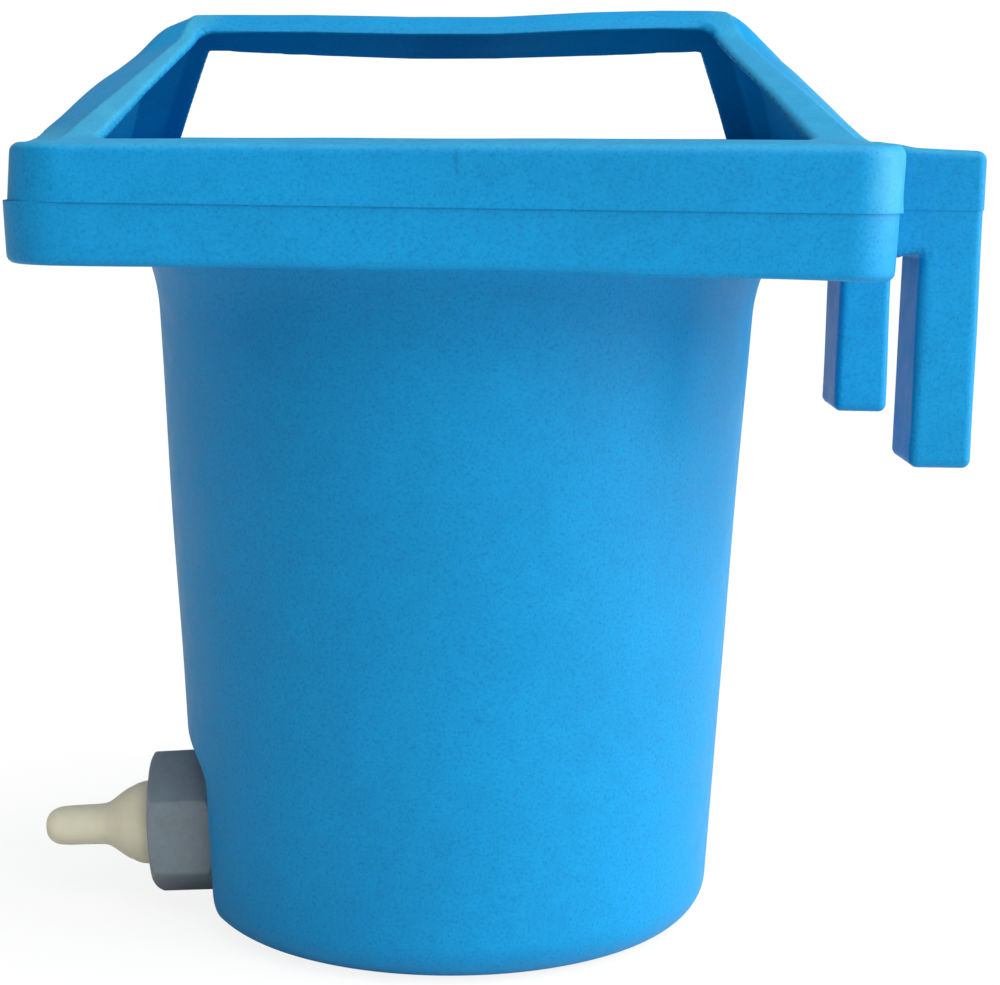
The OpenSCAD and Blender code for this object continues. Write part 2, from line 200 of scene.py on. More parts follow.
def front_window(x, y, roll):
    """Tapered window through the -Y slope; roll is how far its ridge-side edge rolls over."""
    uneven = np.where(x > 0, 0.4 + 0.5 * (1 - smooth(40, 70, -y)), 0.6 + 0.7 * smooth(85, 105, -y))
    edge = 113.6 + 0.187 * (-y - WINDOW_NEAR) - uneven
    span = round_max(-y - WINDOW_REACH, 13.0 + 0.7 * roll + y, 0.01)
    return round_max(span, (np.abs(x + 0.6) - edge) * 0.982, 5.0)


def back_window(x, y):
    """Tapered window through the +Y slope."""
    near = 20.5 + 4.8 * (1 - np.clip(x / 112, -1, 1) ** 2) + np.interp(x, BACK_EDGE_X, BACK_EDGE_Y)
    edge = np.where(x > 0, 109.1 + 0.232 * (y - WINDOW_NEAR), 111.4 + 0.225 * (y - WINDOW_NEAR))
    span = round_max(y - WINDOW_REACH, near - y, 0.01)
    return round_max(span, (np.abs(x) - edge) * 0.978, 1.8)


def bucket_sdf(x, y, z):
    """The hollow moulding with its windows and the port for the spigot."""
    outside = outer_sdf(x, y, z)
    shell = np.maximum(outside, -(outside + WALL - 1.3 * smooth(352, 372, z)))
    roll = smooth(106, 84, np.abs(x)) * smooth(34, 20, -y)
    front = np.maximum(front_window(x, y, roll), WINDOW_FLOOR - z)
    shell = round_max(shell, -front, 3.2 + 1.7 * roll)
    shell = round_max(shell, -np.maximum(back_window(x, y), WINDOW_FLOOR - z), 2.0)
    from_x, from_z = x - PORT[0], z - PORT[2]
    out = from_x * OUT[0] + from_z * OUT[2]
    radius = np.hypot(from_x * UP[0] + from_z * UP[2], y)
    return np.maximum(shell, -np.maximum(radius - PORT_RADIUS, np.abs(out) - 14))


# ---------------------------------------------------------------- meshing
def gradient(field, points, reach=0.05):
    columns = []
    for shift in np.eye(3) * reach:
        columns.append(field(*(points + shift).T) - field(*(points - shift).T))
    return np.stack(columns, 1) / (2 * reach)


def mesh_sdf(field, low, high, step, snap=None):
    """Meshes the zero surface of field on a grid, then puts each vertex on the true surface.

    Returns points, quads and vertex normals. With snap, vertices at the parting line are
    gathered by it and keep their height.
    """
    counts = [int(math.ceil((b - a) / step)) + 1 for a, b in zip(low, high)]
    xs, ys, zs = [low[i] + step * np.arange(counts[i], dtype=np.float32) for i in range(3)]
    band = np.float32(3 * step)
    volume = np.empty(counts, np.float32)
    slab = max(1, int(4e6 // (counts[1] * counts[2])))
    for i in range(0, counts[0], slab):
        part = field(xs[i:i + slab, None, None], ys[None, :, None], zs[None, None, :])
        volume[i:i + slab] = np.clip(part, -band, band)
    grid = vdb.FloatGrid(float(band))
    grid.copyFromArray(volume, tolerance=1e-6)
    points, quads = grid.convertToQuads(0.0)
    points = np.array(points, np.float64) * step + np.array(low)
    quads = np.array(quads, np.int64)

    if snap is not None:
        points = snap(points, step)
    for i in range(3):
        slope = gradient(field, points)
        steepness = np.maximum((slope * slope).sum(1), 0.25)
        move = -(field(*points.T) / steepness)[:, None] * slope
        if snap is not None:
            move[np.abs(points[:, 2] - PART_Z) < 0.2, 2] = 0
        length = np.linalg.norm(move, axis=1)
        move *= np.minimum(1, 0.6 * step / np.maximum(length, 1e-9))[:, None]
        points += move
    normals = gradient(field, points)
    normals /= np.maximum(np.linalg.norm(normals, axis=1), 1e-9)[:, None]
    first, second, third, fourth = (points[quads[:, i]] for i in range(4))
    facing = np.cross(third - first, fourth - second)
    if (facing * normals[quads[:, 0]]).sum() < 0:
        quads = quads[:, ::-1]
    return points, quads, normals


def make_mesh(name, points, quads, normals=None):
    """A smooth-shaded object in metres from points in millimetres."""
    mesh = bpy.data.meshes.new(name)
    quads = np.ascontiguousarray(quads, np.int32)
    mesh.vertices.add(len(points))
    mesh.vertices.foreach_set("co", (np.asarray(points) * MM).astype(np.float32).ravel())
    mesh.loops.add(quads.size)
    mesh.loops.foreach_set("vertex_index", quads.ravel())
    mesh.polygons.add(len(quads))
    mesh.polygons.foreach_set("loop_start", np.arange(0, quads.size, 4, dtype=np.int32))
    mesh.polygons.foreach_set("loop_total", np.full(len(quads), 4, np.int32))
    mesh.update(calc_edges=True)
    mesh.validate()
    mesh.polygons.foreach_set("use_smooth", np.ones(len(mesh.polygons), bool))
    if normals is not None:
        mesh.normals_split_custom_set_from_vertices([tuple(v) for v in normals.astype(np.float32)])
    item = bpy.data.objects.new(name, mesh)
    bpy.context.scene.collection.objects.link(item)
    return item


# ---------------------------------------------------------------- bucket
# lift along x of the rim's lower edge and of the ridge: stations, then lifts
RIM_SAG_X = [-165, -99, -72, -26, 17, 70, 138, 172]
RIM_SAG_Z = [0.85, 0.6, 0.7, 0.5, 0.2, -1.1, -2.0, -2.5]
RIDGE_SAG_X = [-125, -112, -66, -21, 17, 58, 90, 112, 130]
RIDGE_SAG_Z = [-1.8, -1.7, -1.0, -1.5, -0.7, 1.8, 3.1, 3.4, 3.0]


def warp(points):
    """Cooling out of true: the rim deepens towards the hooks and the ridge sags."""
    x, z = points[:, 0], points[:, 2]
    held_x = np.clip(x, -172, 172)
    low = np.interp(x, RIM_SAG_X, RIM_SAG_Z)
    middle = -0.0025 * held_x + 0.2
    top = 0.0105 * held_x - 0.6
    ridge = np.interp(x, RIDGE_SAG_X, RIDGE_SAG_Z)
    lift = (low + (middle - low) * np.clip((z - RIM_Z) / 24, 0, 1)
            + (top - middle) * np.clip((z - 328) / 25, 0, 1)
            + (ridge - top) * np.clip((z - RIM_TOP) / 50, 0, 1))
    warped = points.copy()
    warped[:, 2] += lift * smooth(270, RIM_Z, z) * (1 - smooth(174, 186, x))
    return warped


def snap_parting(points, step):
    """Gathers the two rows of vertices at the parting line, so that its step is crisp."""
    x, y, z = points.T
    near = (np.abs(z - PART_Z) < step * 0.98) & (np.maximum(np.abs(x), np.abs(y)) > 165.8)
    z = np.where(near, PART_Z + np.where(z >= PART_Z, 0.1, -0.1), z)
    return np.stack([x, y, z], 1)


def build_bucket():
    step = 1.5
    # the grid starts below the floor, with one of its planes on the parting line
    low_z = PART_Z - step * math.ceil((PART_Z + 4 * step) / step)
    points, quads, normals = mesh_sdf(bucket_sdf, (-180.0, -180.0, low_z), (222.0, 180.0, 416.0),
                                      step, snap_parting)
    return make_mesh("bucket", warp(points), quads, normals)


bucket = build_bucket()


# ---------------------------------------------------------------- teat unit helpers
def turn(local):
    """Directions (up, across, out) to the bucket's frame."""
    return local[:, :1] * UP + local[:, 1:2] * ACROSS + local[:, 2:3] * OUT


def outward(points, quads):
    """Flips the faces if the closed mesh is inside out."""
    first, second, third, fourth = (points[quads[:, i]] for i in range(4))
    volume = (first * np.cross(second, third)).sum() + (first * np.cross(third, fourth)).sum()
    return quads if volume > 0 else quads[:, ::-1]


def make_revolved(name, profile, segments, shape):
    """Closed revolve of (radius, out) points; shape moves its (up, across, out) points."""
    profile = np.array(profile, float)
    rings = len(profile)
    angles = np.arange(segments) * 2 * math.pi / segments
    up = profile[:, 0][:, None] * np.cos(angles)
    across = profile[:, 0][:, None] * np.sin(angles)
    out = np.repeat(profile[:, 1][:, None], segments, 1)
    points = shape(np.stack([up, across, out], 2).reshape(-1, 3), np.tile(angles, rings))
    i, j = np.meshgrid(np.arange(rings), np.arange(segments), indexing="ij")
    next_i, next_j = (i + 1) % rings, (j + 1) % segments
    quads = np.stack([i * segments + j, next_i * segments + j,
                      next_i * segments + next_j, i * segments + next_j], 2).reshape(-1, 4)
    points = PORT + turn(points)
    return make_mesh(name, points, outward(points, quads))


def between(start, end, start_knot, end_knot, knot):
    return start + (end - start) * (knot - start_knot) / (end_knot - start_knot)


def spline(points, step):
    """Centripetal Catmull-Rom curve through points, resampled about every step."""
    points = np.array(points, float)
    points = np.vstack([2 * points[0] - points[1], points, 2 * points[-1] - points[-2]])
    curve = []
    for i in range(1, len(points) - 2):
        near = points[i - 1:i + 3]
        knots = [0]
        for gap in np.diff(near, axis=0):
            knots.append(knots[-1] + max(np.linalg.norm(gap), 1e-6) ** 0.5)
        count = max(2, int(np.linalg.norm(near[2] - near[1]) / step))
        for knot in np.linspace(knots[1], knots[2], count, endpoint=False):
            level = near
            for span in (1, 2):
                level = [between(level[j], level[j + 1], knots[j], knots[j + span], knot)
                         for j in range(len(level) - 1)]
            curve.append(between(*level, knots[1], knots[2], knot))
    curve.append(points[-2])
    return curve


# places out along the teat's axis from the flat, and radii about it
NUT_BACK, NUT_FACE = 0.3, 29.6
NUT_SEAT = NUT_FACE - 4.8               # inner face of the nut's end wall
SPIGOT_END = NUT_SEAT - 1.45 - 3.15
THREAD_RADIUS = 23.4

# ---------------------------------------------------------------- rubber teat
TIP = NUT_FACE + 50
NECK = 9.3
FLANGE_BACK, FLANGE_FACE = SPIGOT_END + 0.05, NUT_SEAT - 1.45 - 0.12

# (radius, out)
TEAT_OUTSIDE = [
    (19.4, NUT_FACE - 4.7), (19.38, NUT_FACE - 1), (19.25, NUT_FACE + 2), (18.9, NUT_FACE + 5),
    (18.1, NUT_FACE + 7.6), (17.0, NUT_FACE + 9.8), (16.0, NUT_FACE + 12),
    (14.4, NUT_FACE + 14.4), (12.5, NUT_FACE + 17), (10.8, NUT_FACE + 19.4),
    (NECK + 0.35, NUT_FACE + 21.8), (NECK - 0.05, NUT_FACE + 25), (NECK - 0.2, NUT_FACE + 32),
    (NECK - 0.45, TIP - 9), (NECK - 1.0, TIP - 5.6), (7.2, TIP - 3.2), (5.4, TIP - 1.35),
    (3.2, TIP - 0.35), (1.0, TIP)]
TEAT_INSIDE = [
    (1.0, TIP - 2.6), (NECK - 5, TIP - 4), (NECK - 2.6, TIP - 7.5), (NECK - 2.3, NUT_FACE + 24.5),
    (NECK - 1.2, NUT_FACE + 20.6), (9.7, NUT_FACE + 17.2), (12.6, NUT_FACE + 13.2),
    (14.8, NUT_FACE + 9.2), (16.2, NUT_FACE + 5), (16.8, NUT_FACE + 1), (16.6, SPIGOT_END + 2)]
TEAT_FLANGE = [
    (16.6, FLANGE_BACK + 0.3), (16.9, FLANGE_BACK), (THREAD_RADIUS - 0.8, FLANGE_BACK),
    (THREAD_RADIUS - 0.3, FLANGE_BACK + 0.5), (THREAD_RADIUS - 0.3, FLANGE_FACE - 0.5),
    (THREAD_RADIUS - 0.8, FLANGE_FACE), (19.9, FLANGE_FACE), (19.45, FLANGE_FACE + 0.4)]


def teat_shape(points, angles):
    """Cross-cut mouth, slightly out-of-round rubber and a small droop."""
    up, across, out = points.T
    radius = np.hypot(up, across)
    off_cut = np.minimum(np.abs(up * 0.8 - across * 0.6), np.abs(up * 0.6 + across * 0.8))
    cut = (np.exp(-(off_cut / 0.28) ** 2) * (1 - smooth(2.6, 3.6, radius))
           * smooth(TIP - 3, TIP - 1.5, out))
    out = out - 0.55 * cut
    oval = smooth(NUT_FACE + 4, NUT_FACE + 30, out) * 0.012 * np.sin(2 * angles + 0.6)
    lobes = smooth(NUT_FACE + 2, NUT_FACE + 8, out) * 0.006 * np.sin(3 * angles + out * 0.11)
    stretch = 1 + oval + lobes
    droop = -0.1 * smooth(NUT_FACE + 10, TIP, out) ** 1.5
    return np.stack([up * stretch + droop, across * stretch, out], 1)


teat = make_revolved("teat_rubber",
                     spline(TEAT_OUTSIDE, 0.5) + spline(TEAT_INSIDE, 0.9) + TEAT_FLANGE,
                     128, teat_shape)

# ---------------------------------------------------------------- hexagonal nut
NUT_APOTHEM = 34.2 * math.cos(math.radians(30))


def nut_sdf(up, across, out):
    """Hexagon with chamfered faces, eased edges, a shallow draft and a stepped bore."""
    radius = np.hypot(up, across)
    apothem = NUT_APOTHEM - 0.012 * (out - NUT_BACK)
    cosine, sine = math.cos(math.radians(60)), math.sin(math.radians(60))
    flats = [np.abs(across) - apothem,
             np.abs(-up * sine + across * cosine) - apothem,
             np.abs(up * sine + across * cosine) - apothem]
    solid = round_max(round_max(flats[0], flats[1], 1.1), flats[2], 1.1)
    solid = round_max(solid, out - NUT_FACE, 0.9)
    solid = round_max(solid, NUT_BACK - out, 0.6)
    face_chamfer = (radius - (NUT_APOTHEM + 0.2)) * 0.5 + (out - NUT_FACE) * 0.8660
    solid = round_max(solid, face_chamfer, 0.8)
    back_chamfer = (radius - (NUT_APOTHEM + 2.5)) * 0.7071 + (NUT_BACK - out) * 0.7071
    solid = round_max(solid, back_chamfer, 0.6)
    bore = np.where(out < NUT_SEAT, radius - (THREAD_RADIUS + 0.09), radius - 19.75)
    recess = np.maximum(radius - (THREAD_RADIUS + 2.6), out - (NUT_BACK + 1.62))
    solid = round_max(solid, -np.minimum(bore, recess), 0.5)
    # sink mark in the middle of each flat
    mid_flat = np.cos(3 * (np.arctan2(across, up) + math.pi / 6)) ** 8
    middle = (NUT_BACK + NUT_FACE) / 2
    return solid + 0.16 * mid_flat * np.exp(-((out - middle) / 8.0) ** 2)


def build_nut():
    points, quads, normals = mesh_sdf(nut_sdf, (-35.0, -31.0, -1.0), (35.0, 31.0, 31.0),
                                      0.55)
    points = PORT + turn(points)
    return make_mesh("hex_nut", points, outward(points, quads), turn(normals))


nut = build_nut()

# ---------------------------------------------------------------- spigot with a helical thread
SPIGOT_SEGMENTS = 144
PITCH, THREAD_DEPTH = 3.0, 1.35
BACK = -WALL - 2 - 4
BALL_RADIUS, HOLE_RADIUS, HOLE_OUT, PLAY = 8, 6.5, -6, 0.05
BALL_OUT = HOLE_OUT + math.sqrt(BALL_RADIUS ** 2 - HOLE_RADIUS ** 2) + PLAY
STEP_OUT = BALL_OUT + BALL_RADIUS + 4 + PLAY    # step in the bore

# (radius, out): inner flange, threaded barrel, then back along the bore
SPIGOT_FLANGE = [
    (HOLE_RADIUS, BACK + 0.4), (6.9, BACK), (10, BACK), (16, BACK), (22, BACK), (28.6, BACK),
    (29.4, BACK + 0.25), (29.9, BACK + 0.8), (30.0, BACK + 1.4), (30.0, BACK + 3.9),
    (29.9, BACK + 4.0), (THREAD_RADIUS, BACK + 4.0), (THREAD_RADIUS, BACK + 4.1)]
SPIGOT_PLAIN = [(THREAD_RADIUS, out) for out in np.arange(BACK + 4.6, -0.2, 0.8)]
SPIGOT_THREAD = [(THREAD_RADIUS, out) for out in np.arange(0.0, SPIGOT_END - 0.7, 0.2)]
SPIGOT_BORE = [
    (THREAD_RADIUS - 0.35, SPIGOT_END - 0.45), (THREAD_RADIUS - 0.8, SPIGOT_END - 0.1),
    (THREAD_RADIUS - 1.1, SPIGOT_END), (20.4, SPIGOT_END), (20.2, SPIGOT_END - 0.2),
    (20.2, STEP_OUT), (20.15, STEP_OUT - 0.03), (19.6, STEP_OUT - 0.03), (19.6, BACK + 3.2),
    (19.4, BACK + 3), (11.4, BACK + 3), (11.2, BACK + 3.2), (11.2, 5.8), (11.0, 6), (9.4, 6),
    (9.2, 5.8), (9.2, HOLE_OUT), (HOLE_RADIUS, HOLE_OUT)]


def thread_shape(points, angles):
    """Sinks a helical groove into the threaded rings, fading out at both ends."""
    up, across, out = points.T
    radius = np.hypot(up, across)
    ring = np.arange(len(points)) // SPIGOT_SEGMENTS
    start = len(SPIGOT_FLANGE) + len(SPIGOT_PLAIN)
    threaded = (ring >= start) & (ring < start + len(SPIGOT_THREAD))
    phase = (out / PITCH - angles / (2 * math.pi)) % 1.0
    tooth = smooth(0, 1, np.minimum((phase - 0.1) / 0.22, (0.9 - phase) / 0.22))
    blend_weight = smooth(0.0, 2.5, out) * (1 - smooth(SPIGOT_END - 2.2, SPIGOT_END - 0.9, out))
    lead = smooth(SPIGOT_END - 1.6, SPIGOT_END - 0.7, out) * 0.25
    depth = np.where(threaded, (1 - tooth) * THREAD_DEPTH * blend_weight + lead, 0)
    shrink = (radius - depth) / np.maximum(radius, 1e-6)
    return np.stack([up * shrink, across * shrink, out], 1)


spigot = make_revolved("spigot_thread",
                       SPIGOT_FLANGE + SPIGOT_PLAIN + SPIGOT_THREAD + SPIGOT_BORE,
                       SPIGOT_SEGMENTS, thread_shape)


# ---------------------------------------------------------------- materials
def rgba(colour):
    """Opaque colour from three channels or one grey level."""
    if isinstance(colour, (int, float)):
        colour = (colour,) * 3
    return (*colour, 1)


def scaled(colour, factors):
    return tuple(channel * factor for channel, factor in zip(colour, factors))


class Shader:
    """A new material with short ways to add nodes; values may be numbers or sockets."""

    def __init__(self, name):
        self.material = bpy.data.materials.new(name)
        self.material.use_nodes = True
        self.tree = self.material.node_tree
        self.surface = self.tree.nodes["Principled BSDF"]
        self.position = self.node("TexCoord").outputs["Object"]

    def feed(self, socket, value):
        if isinstance(value, bpy.types.NodeSocket):
            self.tree.links.new(value, socket)
        else:
            socket.default_value = value

    def node(self, kind, **inputs):
        made = self.tree.nodes.new("ShaderNode" + kind)
        for name, value in inputs.items():
            self.feed(made.inputs[name], value)
        return made

    def set(self, name, value):
        self.feed(self.surface.inputs[name], value)

    def math(self, operation, first, second=None, clamp=False):
        made = self.node("Math")
        made.operation = operation
        made.use_clamp = clamp
        self.feed(made.inputs[0], first)
        if second is not None:
            self.feed(made.inputs[1], second)
        return made.outputs[0]

    def mul(self, first, second, clamp=False):
        return self.math("MULTIPLY", first, second, clamp)

    def add(self, first, second):
        return self.math("ADD", first, second)

    def sub(self, first, second, clamp=False):
        return self.math("SUBTRACT", first, second, clamp)

    def split(self, vector):
        return self.node("SeparateXYZ", Vector=vector).outputs

    def ramp(self, source, *stops):
        """Colour ramp with (position, colour) stops."""
        made = self.node("ValToRGB")
        elements = made.color_ramp.elements
        while len(elements) < len(stops):
            elements.new(0.5)
        for element, (position, colour) in zip(elements, stops):
            element.position = position
            element.color = rgba(colour)
        self.feed(made.inputs[0], source)
        return made.outputs[0]

    def mix(self, factor, under, over, blend="MIX"):
        made = self.node("Mix")
        made.data_type = "RGBA"
        made.blend_type = blend
        self.feed(made.inputs[0], factor)
        for i, colour in ((6, under), (7, over)):    # the colour inputs A and B
            is_socket = isinstance(colour, bpy.types.NodeSocket)
            self.feed(made.inputs[i], colour if is_socket else rgba(colour))
        return made.outputs[2]

    def tint(self, colour, tone):
        return self.mix(1.0, colour, tone, "MULTIPLY")

    def step(self, value, off, on):
        """Smoothstep: 0 at off, 1 at on, whichever is greater."""
        made = self.node("MapRange", Value=value)
        made.interpolation_type = "SMOOTHSTEP"
        made.inputs["From Min"].default_value = min(off, on)
        made.inputs["From Max"].default_value = max(off, on)
        made.inputs["To Min"].default_value = 0 if off < on else 1
        made.inputs["To Max"].default_value = 1 if off < on else 0
        return made.outputs["Result"]

    def noise(self, scale, detail=2.0, roughness=0.5, distortion=0.0, at=None):
        return self.node("TexNoise", Scale=scale, Detail=detail, Roughness=roughness,
                         Distortion=distortion, Vector=at or self.position).outputs["Fac"]

    def bump(self, height):
        """Height in metres."""
        self.set("Normal", self.node("Bump", Distance=1.0, Height=height).outputs[0])


BLUE = (0.0013, 0.200, 0.454)
# paler blue painted on faces that catch the lights, as painted sheen
PAINTED_SHEEN_BLUE = (0.031, 0.268, 0.465)
SPECK_BLUE = (0.35, 0.60, 0.80)


def painted_sheen_areas(shader, mottle):
    """Mask of the painted sheen, a pale highlight painted on the struts inside the crease, the
    rim's top and its +X corner, the faces that catch the lights.
    """
    mul, add, step = shader.mul, shader.add, shader.step
    x, y, z = shader.split(shader.position)
    normal = shader.node("NewGeometry").outputs["Normal"]
    normal_x, normal_y, normal_z = shader.split(normal)
    away_x = shader.math("ABSOLUTE", shader.sub(x, ROOF_MID_X * MM))
    over = shader.sub(shader.sub(away_x, CREASE_X * MM),
                      mul(shader.math("ABSOLUTE", y), CREASE_SPREAD))
    strut = mul(mul(step(over, 0.0015, -0.0025), step(normal_z, 0.5, 0.85)),
                mul(step(away_x, 0.100, 0.118),
                    mul(step(z, 0.350, 0.354),
                        shader.sub(1.0, mul(step(x, -0.05, 0.05), 0.42)))))
    brim = mul(mul(step(normal_z, 0.25, 0.8), step(z, 0.344, 0.349)),
               mul(step(z, 0.358, 0.354), 0.6))
    # the painted highlight on the corner is weaker below the parting line
    corner = mul(mul(step(normal_x, 0.10, 0.55),
                     mul(step(z, 0.300, 0.340), add(mul(step(z, 0.3275, 0.330), 0.45), 0.55))),
                 mul(step(x, 0.130, 0.150),
                     mul(step(x, 0.182, 0.176), step(normal_y, 0.1, -0.2))))
    blend_weight = shader.math("MAXIMUM", strut, shader.math("MAXIMUM", brim, corner))
    return mul(blend_weight, add(mul(step(mottle, 0.25, 0.75), 0.3), 0.72), clamp=True)


def router_chatter(shader):
    """Height of the ripples along the -X edge of the -Y window."""
    mul, add = shader.mul, shader.add
    edge_x, edge_y = 0.112, 0.0215          # a point on the edge, mirrored to -X and -Y
    cosine, sine = 0.982, 0.189             # lean of the edge from Y
    half_width, ripple, height = 0.0035, 0.0026, 0.00022
    x, y, z = shader.split(shader.position)
    along = add(mul(x, sine), mul(y, cosine))
    across = add(add(mul(x, cosine), mul(y, -sine)), cosine * edge_x - sine * edge_y)
    mask = shader.sub(1.0, mul(shader.math("ABSOLUTE", across), 1 / half_width), clamp=True)
    mask = mul(mask, shader.math("GREATER_THAN", z, 0.353))
    mask = mul(mask, shader.math("LESS_THAN", y, -0.012))
    wave = shader.math("SINE", mul(along, 2 * math.pi / ripple))
    return mul(mul(wave, mask), height)


def bucket_material():
    shader = Shader("rotomoulded_blue")
    grain = shader.noise(scale=760, roughness=0.62)
    mottle = shader.noise(scale=95, detail=3.0, roughness=0.6)
    cloud = shader.noise(scale=14)
    colour = shader.ramp(grain, (0.28, scaled(BLUE, (0.55, 0.80, 0.83))), (0.45, BLUE),
                         (0.74, scaled(BLUE, (1.6, 1.10, 1.08))))
    mottle_tone = shader.ramp(mottle, (0.35, (0.93, 0.958, 0.965)), (0.65, (1.04, 1.022, 1.018)))
    colour = shader.tint(colour, mottle_tone)
    cloud_tone = shader.ramp(cloud, (0.35, (0.93, 0.96, 0.965)), (0.65, (1.05, 1.03, 1.03)))
    colour = shader.tint(colour, cloud_tone)
    # painted sheen: paler blue mixed onto the up-facing struts, the rim's top and the +X corner,
    # where the lights fall
    blend_weight = painted_sheen_areas(shader, mottle)
    sheen_colour = shader.tint(PAINTED_SHEEN_BLUE, mottle_tone)
    sheen_colour = shader.tint(sheen_colour, shader.ramp(grain, (0.28, (0.84, 0.88, 0.90)), (0.45, 1),
                                           (0.74, (1.15, 1.06, 1.05))))
    colour = shader.mix(blend_weight, colour, sheen_colour)
    # sparse pale specks of unmelted powder
    cells = shader.node("TexVoronoi", Scale=70, Vector=shader.position)
    near = shader.ramp(cells.outputs["Distance"], (0.0, 1), (0.055, 0))
    picked = shader.ramp(cells.outputs["Color"], (0.90, 0), (0.93, 1))
    speck = shader.mul(near, picked, clamp=True)
    colour = shader.mix(shader.mul(speck, 0.55), colour, SPECK_BLUE)
    shader.set("Base Color", colour)
    shader.set("Roughness", shader.ramp(mottle, (0.3, 0.44), (0.7, 0.56)))
    shader.set("IOR", 1.49)
    shader.set("Specular IOR Level", 0.14)
    chatter = router_chatter(shader)
    peel = shader.noise(scale=180)
    height = shader.add(shader.mul(grain, 0.000035), shader.mul(peel, 0.00006))
    height = shader.add(height, shader.mul(mottle, 0.00006))
    height = shader.add(height, chatter)
    shader.bump(shader.add(height, shader.mul(speck, 0.00012)))
    return shader.material


def plastic(name, base, rough, grain, vary, depth, scuff=None):
    """Moulded plastic.

    rough is the range of roughness, grain the fine noise scale, vary the share the colour
    varies by, depth the bump in metres and scuff the colour of any streaks.
    """
    shader = Shader(name)
    fine = shader.noise(scale=grain, detail=3.0, roughness=0.6)
    broad = shader.noise(scale=55, detail=3.0, roughness=0.6, distortion=0.4)
    colour = shader.ramp(broad, (0.3, scaled(base, (1 - vary,) * 3)),
                         (0.7, scaled(base, (1 + vary,) * 3)))
    colour = shader.tint(colour, shader.ramp(fine, (0.3, 0.93), (0.7, 1.06)))
    roughness = shader.ramp(broad, (0.25, rough[0]), (0.75, rough[1]))
    if scuff:
        streaked = shader.node("Mapping", Vector=shader.position, Scale=(1.0, 1.0, 0.16),
                               Rotation=(0.3, 0.9, 0.2)).outputs[0]
        streaks = shader.noise(scale=420, detail=4.0, roughness=0.7, at=streaked)
        streaks = shader.ramp(streaks, (0.60, 0), (0.72, 1))
        colour = shader.mix(shader.mul(streaks, 0.16), colour, scuff)
        roughness = shader.mix(shader.mul(streaks, 0.5), roughness, 0.7)
    shader.set("Base Color", colour)
    shader.set("Roughness", roughness)
    shader.bump(shader.add(shader.mul(fine, depth), shader.mul(broad, depth * 3)))
    return shader.material


def rubber(name, base, deep, subsurface):
    shader = Shader(name)
    broad = shader.noise(scale=60, detail=3.0, roughness=0.6)
    fine = shader.noise(scale=900, roughness=0.6)
    shader.set("Base Color", shader.ramp(broad, (0.3, deep), (0.7, base)))
    shader.set("Roughness", shader.ramp(broad, (0.3, 0.42), (0.7, 0.55)))
    shader.set("Subsurface Weight", subsurface)
    shader.set("Subsurface Radius", (1.0, 0.8, 0.45))
    shader.set("Subsurface Scale", 0.004)
    shader.bump(shader.add(shader.mul(fine, 0.00002), shader.mul(broad, 0.0001)))
    return shader.material


def black_rubber(name):
    return rubber(name, base=(0.030, 0.030, 0.031), deep=(0.018, 0.018, 0.019), subsurface=0.0)


def set_material(item, material):
    item.data.materials.clear()
    item.data.materials.append(material)


set_material(bucket, bucket_material())
set_material(nut, plastic("nut_grey", (0.158, 0.196, 0.228), rough=(0.30, 0.46), grain=420,
                          vary=0.10, depth=0.00005, scuff=(0.30, 0.33, 0.35)))
set_material(teat, rubber("teat_cream", base=(0.67, 0.630, 0.495), deep=(0.61, 0.565, 0.430),
                          subsurface=0.35))
set_material(spigot, plastic("spigot_grey", (0.135, 0.165, 0.19), rough=(0.34, 0.48), grain=420,
                             vary=0.10, depth=0.00004))
cad_materials = {
    "slip_ring": plastic("slip_white", (0.72, 0.72, 0.67), rough=(0.35, 0.5), grain=500,
                         vary=0.06, depth=0.00003),
    "outer_seal": black_rubber("seal_black"),
    "inner_seal": black_rubber("seal_black_inner"),
    "valve_ball": plastic("ball_white", (0.74, 0.74, 0.71), rough=(0.22, 0.34), grain=500,
                          vary=0.05, depth=0.00002),
    "valve_cage": plastic("cage_grey", (0.19, 0.23, 0.26), rough=(0.36, 0.5), grain=420,
                          vary=0.10, depth=0.00004),
}
for piece, material in cad_materials.items():
    set_material(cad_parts[piece], material)

# object, what it rides on, the CAD piece it replaces, its material slot
for item, carrier, replaced, slot in (
        (bucket, "root", "bucket_moulding", "bucket_plastic"),
        (nut, "nut", "union_nut", "nut_plastic"),
        (teat, "teat_head", "teat", "teat_rubber"),
        (spigot, "root", "threaded_spigot", "spigot_plastic")):
    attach(item, carrier)
    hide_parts(replaced)

# ---------------------------------------------------------------- stage
scene = bpy.context.scene
scene.view_settings.view_transform = "Standard"
scene.view_settings.look = "None"
scene.view_settings.exposure = 0.0
BACKDROP = 1.05     # brightness of floor and world as the camera sees them


def floor_material():
    """Pale matt floor that mostly glows white to the camera."""
    shader = Shader("floor_pale")
    shader.set("Base Color", shader.ramp(shader.noise(scale=3), (0.3, 0.74), (0.7, 0.76)))
    shader.set("Roughness", 0.9)
    glow = shader.node("Emission", Strength=BACKDROP)
    seen = shader.node("LightPath").outputs["Is Camera Ray"]
    mixed = shader.node("MixShader")
    shader.feed(mixed.inputs[0], shader.mul(seen, 0.82))
    shader.feed(mixed.inputs[1], shader.surface.outputs[0])
    shader.feed(mixed.inputs[2], glow.outputs[0])
    shader.feed(shader.tree.nodes["Material Output"].inputs[0], mixed.outputs[0])
    return shader.material


def build_floor(half=30, drop=0.0005):
    material = floor_material()
    mesh = bpy.data.meshes.new("floor")
    corners = [(-half, -half, 0), (half, -half, 0), (half, half, 0), (-half, half, 0)]
    mesh.from_pydata(corners, [], [(0, 1, 2, 3)])
    floor = bpy.data.objects.new("floor", mesh)
    scene.collection.objects.link(floor)
    mesh.materials.append(material)
    floor.location.z = -drop


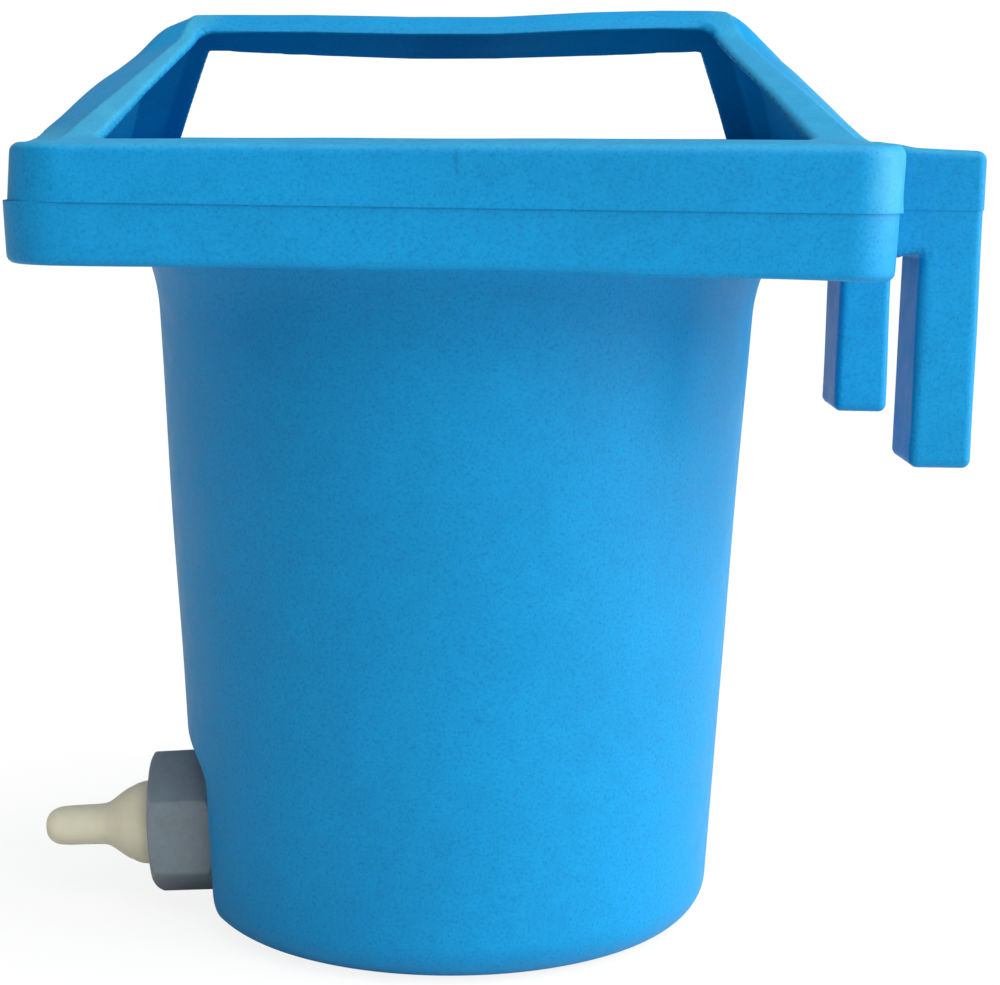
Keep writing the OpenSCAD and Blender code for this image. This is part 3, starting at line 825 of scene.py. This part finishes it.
def build_world():
    """Soft bluish light, seen by the camera as plain white."""
    world = bpy.data.worlds.new("soft_white")
    scene.world = world
    world.use_nodes = True
    nodes, links = world.node_tree.nodes, world.node_tree.links
    light = nodes["Background"]
    light.inputs["Color"].default_value = (0.93, 0.97, 1.0, 1)
    light.inputs["Strength"].default_value = 0.40
    seen = nodes.new("ShaderNodeBackground")
    seen.inputs["Color"].default_value = (1, 1, 1, 1)
    seen.inputs["Strength"].default_value = BACKDROP
    path = nodes.new("ShaderNodeLightPath")
    mixed = nodes.new("ShaderNodeMixShader")
    links.new(path.outputs["Is Camera Ray"], mixed.inputs[0])
    links.new(light.outputs[0], mixed.inputs[1])
    links.new(seen.outputs[0], mixed.inputs[2])
    links.new(mixed.outputs[0], nodes["World Output"].inputs[0])


build_floor()
build_world()


# ---------------------------------------------------------------- lights
def add_light(name, kind, energy, colour, direction):
    light = bpy.data.lights.new(name, kind)
    light.energy = energy
    light.color = colour
    item = bpy.data.objects.new(name, light)
    scene.collection.objects.link(item)
    item.rotation_euler = direction.to_track_quat("-Z", "Y").to_euler()
    return item


def add_area(name, location, target, size, energy, colour=(1, 1, 1)):
    item = add_light(name, "AREA", energy, colour, Vector(target) - Vector(location))
    item.location = location
    item.data.shape = "RECTANGLE"
    item.data.size, item.data.size_y = size
    return item


key = add_light("key", "SUN", energy=4.1, colour=(1, 0.99, 0.90),
                direction=Vector((-0.52, 0.42, -0.74)))
key.data.angle = math.radians(75)
add_area("side", (1.5, -0.9, 0.5), target=(0.05, 0, 0.25), size=(0.5, 1.3), energy=8)
add_area("flank", (1.75, -0.10, 0.5), target=(0.05, 0, 0.25), size=(0.7, 1.3), energy=19)
# two faint lights inside the bucket, aimed at the rim
for name, side, energy in (("glow_right", 1, 0.066), ("glow_left", -1, 0.050)):
    glow = add_area(name, (side * 0.02, 0.02, 0.28), target=(side * 0.16, 0.02, 0.322),
                    size=(0.20, 0.06), energy=energy, colour=(0.3, 0.95, 1))
    glow.visible_camera = False


# ---------------------------------------------------------------- camera
def build_camera(location, yaw, pitch, roll):
    """Camera looking along +Y, turned by yaw to +X, pitch down and roll, in radians."""
    forward = np.array([math.sin(yaw) * math.cos(pitch), math.cos(yaw) * math.cos(pitch),
                        -math.sin(pitch)])
    level = np.array([math.cos(yaw), -math.sin(yaw), 0.0])
    down = np.cross(forward, level)
    pose = np.eye(4)
    pose[:3, 0] = math.cos(roll) * level + math.sin(roll) * down
    pose[:3, 1] = math.sin(roll) * level - math.cos(roll) * down
    pose[:3, 2] = -forward
    pose[:3, 3] = location
    camera = bpy.data.cameras.new("camera")
    camera.sensor_width = 36
    camera.lens = 84.78162
    camera.shift_x = -0.05727
    camera.shift_y = 0.02842
    camera.clip_start, camera.clip_end = 0.05, 100
    item = bpy.data.objects.new("camera", camera)
    scene.collection.objects.link(item)
    item.matrix_world = Matrix(pose.tolist())
    scene.camera = item


build_camera((-0.003052, -1.066917, 0.354891), yaw=0.0469, pitch=0.1614, roll=-0.0137)

bpy.context.view_layer.update()
